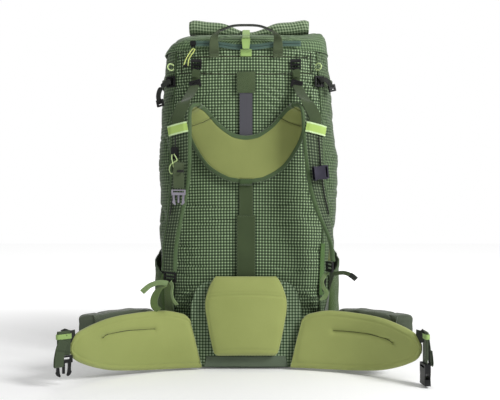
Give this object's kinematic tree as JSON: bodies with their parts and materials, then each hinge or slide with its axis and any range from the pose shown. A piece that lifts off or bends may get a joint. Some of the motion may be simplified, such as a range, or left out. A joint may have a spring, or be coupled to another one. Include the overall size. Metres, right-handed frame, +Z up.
{
  "type": "hiking backpack",
  "caption": "Roll-top hiking backpack with a centre stay, padded yoke and shoulder straps, lumbar pad, padded hip belt with pockets, and side and front stretch pockets.",
  "frame": {"origin": "middle of the base, on the floor it stands on", "axes": "+Z up along the back, -Y out of the harness side towards the wearer, +X to the right of someone who looks at the harness"},
  "size_m": [0.6567, 0.4135, 0.6933],
  "materials": {
    "shell_fabric": "woven ripstop with a faint grid",
    "panel_fabric": "heavy woven fabric",
    "collar_fabric": "thin coated ripstop",
    "pocket_fabric": "stretch fabric, bright green",
    "hip_pocket_fabric": "smooth grey-green fabric",
    "pad_fabric": "open spacer mesh over foam",
    "strap_fabric": "ripstop over foam with a bound edge",
    "webbing": "woven flat webbing",
    "light_webbing": "woven flat webbing, light green",
    "cord": "braided cord",
    "buckle_plastic": "moulded, lightly grained",
    "sheet_plastic": "smooth stiff sheet",
    "stay_metal": "anodised, satin",
    "hook_metal": "black coated wire"
  },
  "bodies": {
    "pack": {"back_panel": "panel_fabric", "side_panel_right": "shell_fabric", "front_panel": "shell_fabric", "side_panel_left": "shell_fabric", "base_panel": "panel_fabric", "collar": "collar_fabric", "frame_sheet": "sheet_plastic", "stay": "stay_metal", "stay_pocket": "webbing", "stay_sleeve": "webbing", "shoulder_yoke": "pad_fabric", "lumbar_pad": "pad_fabric", "belt_core": "panel_fabric", "side_pocket_right": "pocket_fabric", "side_pocket_left": "pocket_fabric", "front_pocket": "pocket_fabric", "top_zip": "webbing", "hook_tab": "light_webbing", "front_strap": "light_webbing", "compression_strap_left": "webbing", "compression_strap_right": "webbing", "compression_buckle_left": "buckle_plastic", "compression_buckle_right": "buckle_plastic", "gear_loop_left": "cord", "gear_loop_right": "cord", "lifter_buckle_left": "buckle_plastic", "lifter_buckle_right": "buckle_plastic", "load_lifter_left": "webbing", "load_lifter_right": "webbing", "lower_webbing_left": "webbing", "lower_webbing_right": "webbing"},
    "strap_left": {"shoulder_strap_left": "strap_fabric", "strap_band_left": "light_webbing", "strap_adjuster_left": "buckle_plastic", "sternum_rail_left": "webbing"},
    "strap_right": {"shoulder_strap_right": "strap_fabric", "strap_band_right": "light_webbing", "strap_adjuster_right": "buckle_plastic", "sternum_rail_right": "webbing"},
    "sternum_left": {"sternum_slider_left": "buckle_plastic"},
    "sternum_tail": {"sternum_webbing": "webbing", "sternum_plug": "buckle_plastic"},
    "sternum_right": {"sternum_slider_right": "buckle_plastic", "sternum_socket": "buckle_plastic"},
    "fin_left": {"hip_fin_left": "pad_fabric", "hip_pocket_left": "hip_pocket_fabric"},
    "fin_right": {"hip_fin_right": "pad_fabric", "hip_pocket_right": "hip_pocket_fabric"},
    "hip_slider_left": {"hip_zip_slider_left": "buckle_plastic"},
    "hip_slider_right": {"hip_zip_slider_right": "buckle_plastic"},
    "belt_left": {"belt_webbing_left": "webbing", "belt_plug": "buckle_plastic"},
    "belt_right": {"belt_webbing_right": "webbing", "belt_socket": "buckle_plastic"},
    "roll": {"roll_top": "collar_fabric", "top_strap": "light_webbing"},
    "hook": {"top_hook": "hook_metal"},
    "haul": {"haul_loop": "webbing"},
    "zip_slider": {"top_zip_slider": "buckle_plastic"},
    "zip_pull": {"top_zip_pull": "cord"}
  },
  "joints": [
    {"name": "shoulder_strap_left_swing", "type": "hinge", "parent": "pack", "child": "strap_left", "pos_m": [-0.11, -0.1293, 0.518], "axis": [-1, 0, 0], "range_deg": [0, 30], "deforming": ["load_lifter_left", "lower_webbing_left"]},
    {"name": "shoulder_strap_right_swing", "type": "hinge", "parent": "pack", "child": "strap_right", "pos_m": [0.11, -0.1293, 0.518], "axis": [-1, 0, 0], "range_deg": [0, 30], "deforming": ["load_lifter_right", "lower_webbing_right"]},
    {"name": "sternum_slide_left", "type": "slide", "parent": "strap_left", "child": "sternum_left", "axis": [0.005, 0.022, -0.9997], "range_m": [-0.015, 0.018]},
    {"name": "sternum_tail_swing", "type": "hinge", "parent": "sternum_left", "child": "sternum_tail", "pos_m": [-0.1235, -0.162, 0.405], "axis": [0, -1, 0], "range_deg": [0, 90]},
    {"name": "sternum_slide_right", "type": "slide", "parent": "strap_right", "child": "sternum_right", "axis": [0.113, 0.051, -0.9923], "range_m": [-0.012, 0.02]},
    {"name": "hip_fin_left_fold", "type": "hinge", "parent": "pack", "child": "fin_left", "pos_m": [-0.084, -0.1178, 0.06], "axis": [0, 0, 1], "range_deg": [0, 60]},
    {"name": "hip_fin_right_fold", "type": "hinge", "parent": "pack", "child": "fin_right", "pos_m": [0.084, -0.1178, 0.06], "axis": [0, 0, -1], "range_deg": [0, 60]},
    {"name": "hip_zip_left", "type": "hinge", "parent": "fin_left", "child": "hip_slider_left", "pos_m": [-0.03633, -0.4506, 0.096], "axis": [0, 0, 1], "range_deg": [0, 14]},
    {"name": "hip_zip_right", "type": "hinge", "parent": "fin_right", "child": "hip_slider_right", "pos_m": [0.03633, -0.4506, 0.096], "axis": [0, 0, -1], "range_deg": [0, 14]},
    {"name": "belt_left_swing", "type": "hinge", "parent": "fin_left", "child": "belt_left", "pos_m": [-0.31955, -0.2568, 0.092], "axis": [-0.6429, 0.7659, 0], "range_deg": [0, 80]},
    {"name": "belt_right_swing", "type": "hinge", "parent": "fin_right", "child": "belt_right", "pos_m": [0.3164, -0.2524, 0.092], "axis": [-0.9975, -0.07, 0], "range_deg": [-10, 80]},
    {"name": "roll_open", "type": "hinge", "parent": "pack", "child": "roll", "pos_m": [0, 0.0186, 0.6648], "axis": [-1, 0, 0], "range_deg": [0, 100]},
    {"name": "hook_swing", "type": "hinge", "parent": "roll", "child": "hook", "pos_m": [0, -0.1053, 0.641], "axis": [-1, 0, 0], "range_deg": [0, 60]},
    {"name": "haul_loop_swing", "type": "hinge", "parent": "pack", "child": "haul", "pos_m": [0, -0.0985, 0.606], "axis": [1, 0, 0], "range_deg": [0, 60]},
    {"name": "top_zip_slide", "type": "slide", "parent": "pack", "child": "zip_slider", "axis": [1, 0, 0], "range_m": [0, 0.026]},
    {"name": "zip_pull_swing", "type": "hinge", "parent": "zip_slider", "child": "zip_pull", "pos_m": [-0.104, -0.1005, 0.623], "axis": [0, 1, 0], "range_deg": [-20, 50]}
  ]
}
